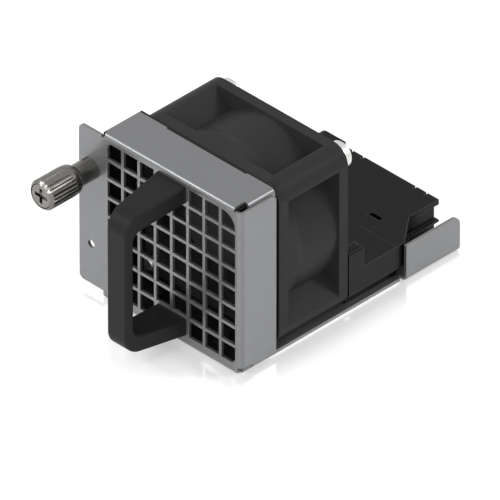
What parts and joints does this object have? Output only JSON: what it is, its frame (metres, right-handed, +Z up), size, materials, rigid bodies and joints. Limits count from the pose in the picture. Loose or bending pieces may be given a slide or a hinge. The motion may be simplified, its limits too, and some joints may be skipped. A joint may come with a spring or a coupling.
{
  "type": "hot-swappable fan module",
  "caption": "Hot-swappable chassis fan module: folded sheet tray with a grille face, pull handle and captive thumbscrew, square axial fan, inlet duct and plug housing.",
  "frame": {"origin": "on the underside of the tray, straight below the middle of the fan", "axes": "+Z up, +Y from the handle to the plug end along the fan's shaft, +X to the right of a person who faces the handle"},
  "size_m": [0.047, 0.0808, 0.0416],
  "materials": {
    "zinc_steel": "zinc plated sheet, satin",
    "black_handle": "fine texture, moulded",
    "black_fan": "satin moulded",
    "black_duct": "satin moulded",
    "black_housing": "satin moulded",
    "bright_screws": "nickel plated",
    "dark_nickel": "dark nickel plated, knurled",
    "spring_steel": "drawn wire",
    "motor_steel": "pressed and laminated steel",
    "magnet": "bonded ferrite",
    "copper": "enamelled wire",
    "circuit_board": "solder mask",
    "gold": "plated contacts",
    "chips": "moulded packages",
    "cream_socket": "moulded",
    "lead_sheath": "insulated wire",
    "label_foil": "blank foil label"
  },
  "bodies": {
    "root": {"bracket": "zinc_steel", "handle": "black_handle", "handle_screws": "bright_screws", "inlet_duct": "black_duct", "duct_screws": "bright_screws", "fan_frame": "black_fan", "front_bearing": "motor_steel", "rear_bearing": "motor_steel", "stator_core": "motor_steel", "stator_coils": "copper", "motor_board": "circuit_board", "fan_screws": "bright_screws", "ferrule": "dark_nickel", "captive_spring": "spring_steel", "housing_base": "black_housing", "housing_cover": "black_housing", "housing_screws": "bright_screws", "control_board": "circuit_board", "edge_contacts": "gold", "board_parts": "chips", "lead_socket": "cream_socket", "board_screws": "bright_screws", "fan_leads": "lead_sheath", "fan_label": "label_foil"},
    "rotor": {"impeller": "black_fan", "rotor_yoke": "motor_steel", "rotor_magnet": "magnet", "rotor_shaft": "motor_steel", "shaft_clip": "spring_steel"},
    "spring_seat": {"thrust_washer": "spring_steel"},
    "thumb_screw": {"captive_knob": "dark_nickel", "captive_screw": "dark_nickel"}
  },
  "joints": [
    {"name": "fan_spin", "type": "hinge", "parent": "root", "child": "rotor", "pos_m": [0, 0, 0.0207], "axis": [0, 1, 0], "continuous": true},
    {"name": "thumb_slide", "type": "slide", "parent": "root", "child": "spring_seat", "axis": [0, 1, 0], "range_m": [0, 0.0047], "stiffness_N_per_m": 400, "springref_m": -0.004, "deforming": ["captive_spring"]},
    {"name": "thumb_turn", "type": "hinge", "parent": "spring_seat", "child": "thumb_screw", "pos_m": [-0.02237, -0.03, 0.0311], "axis": [0, 1, 0], "continuous": true}
  ]
}
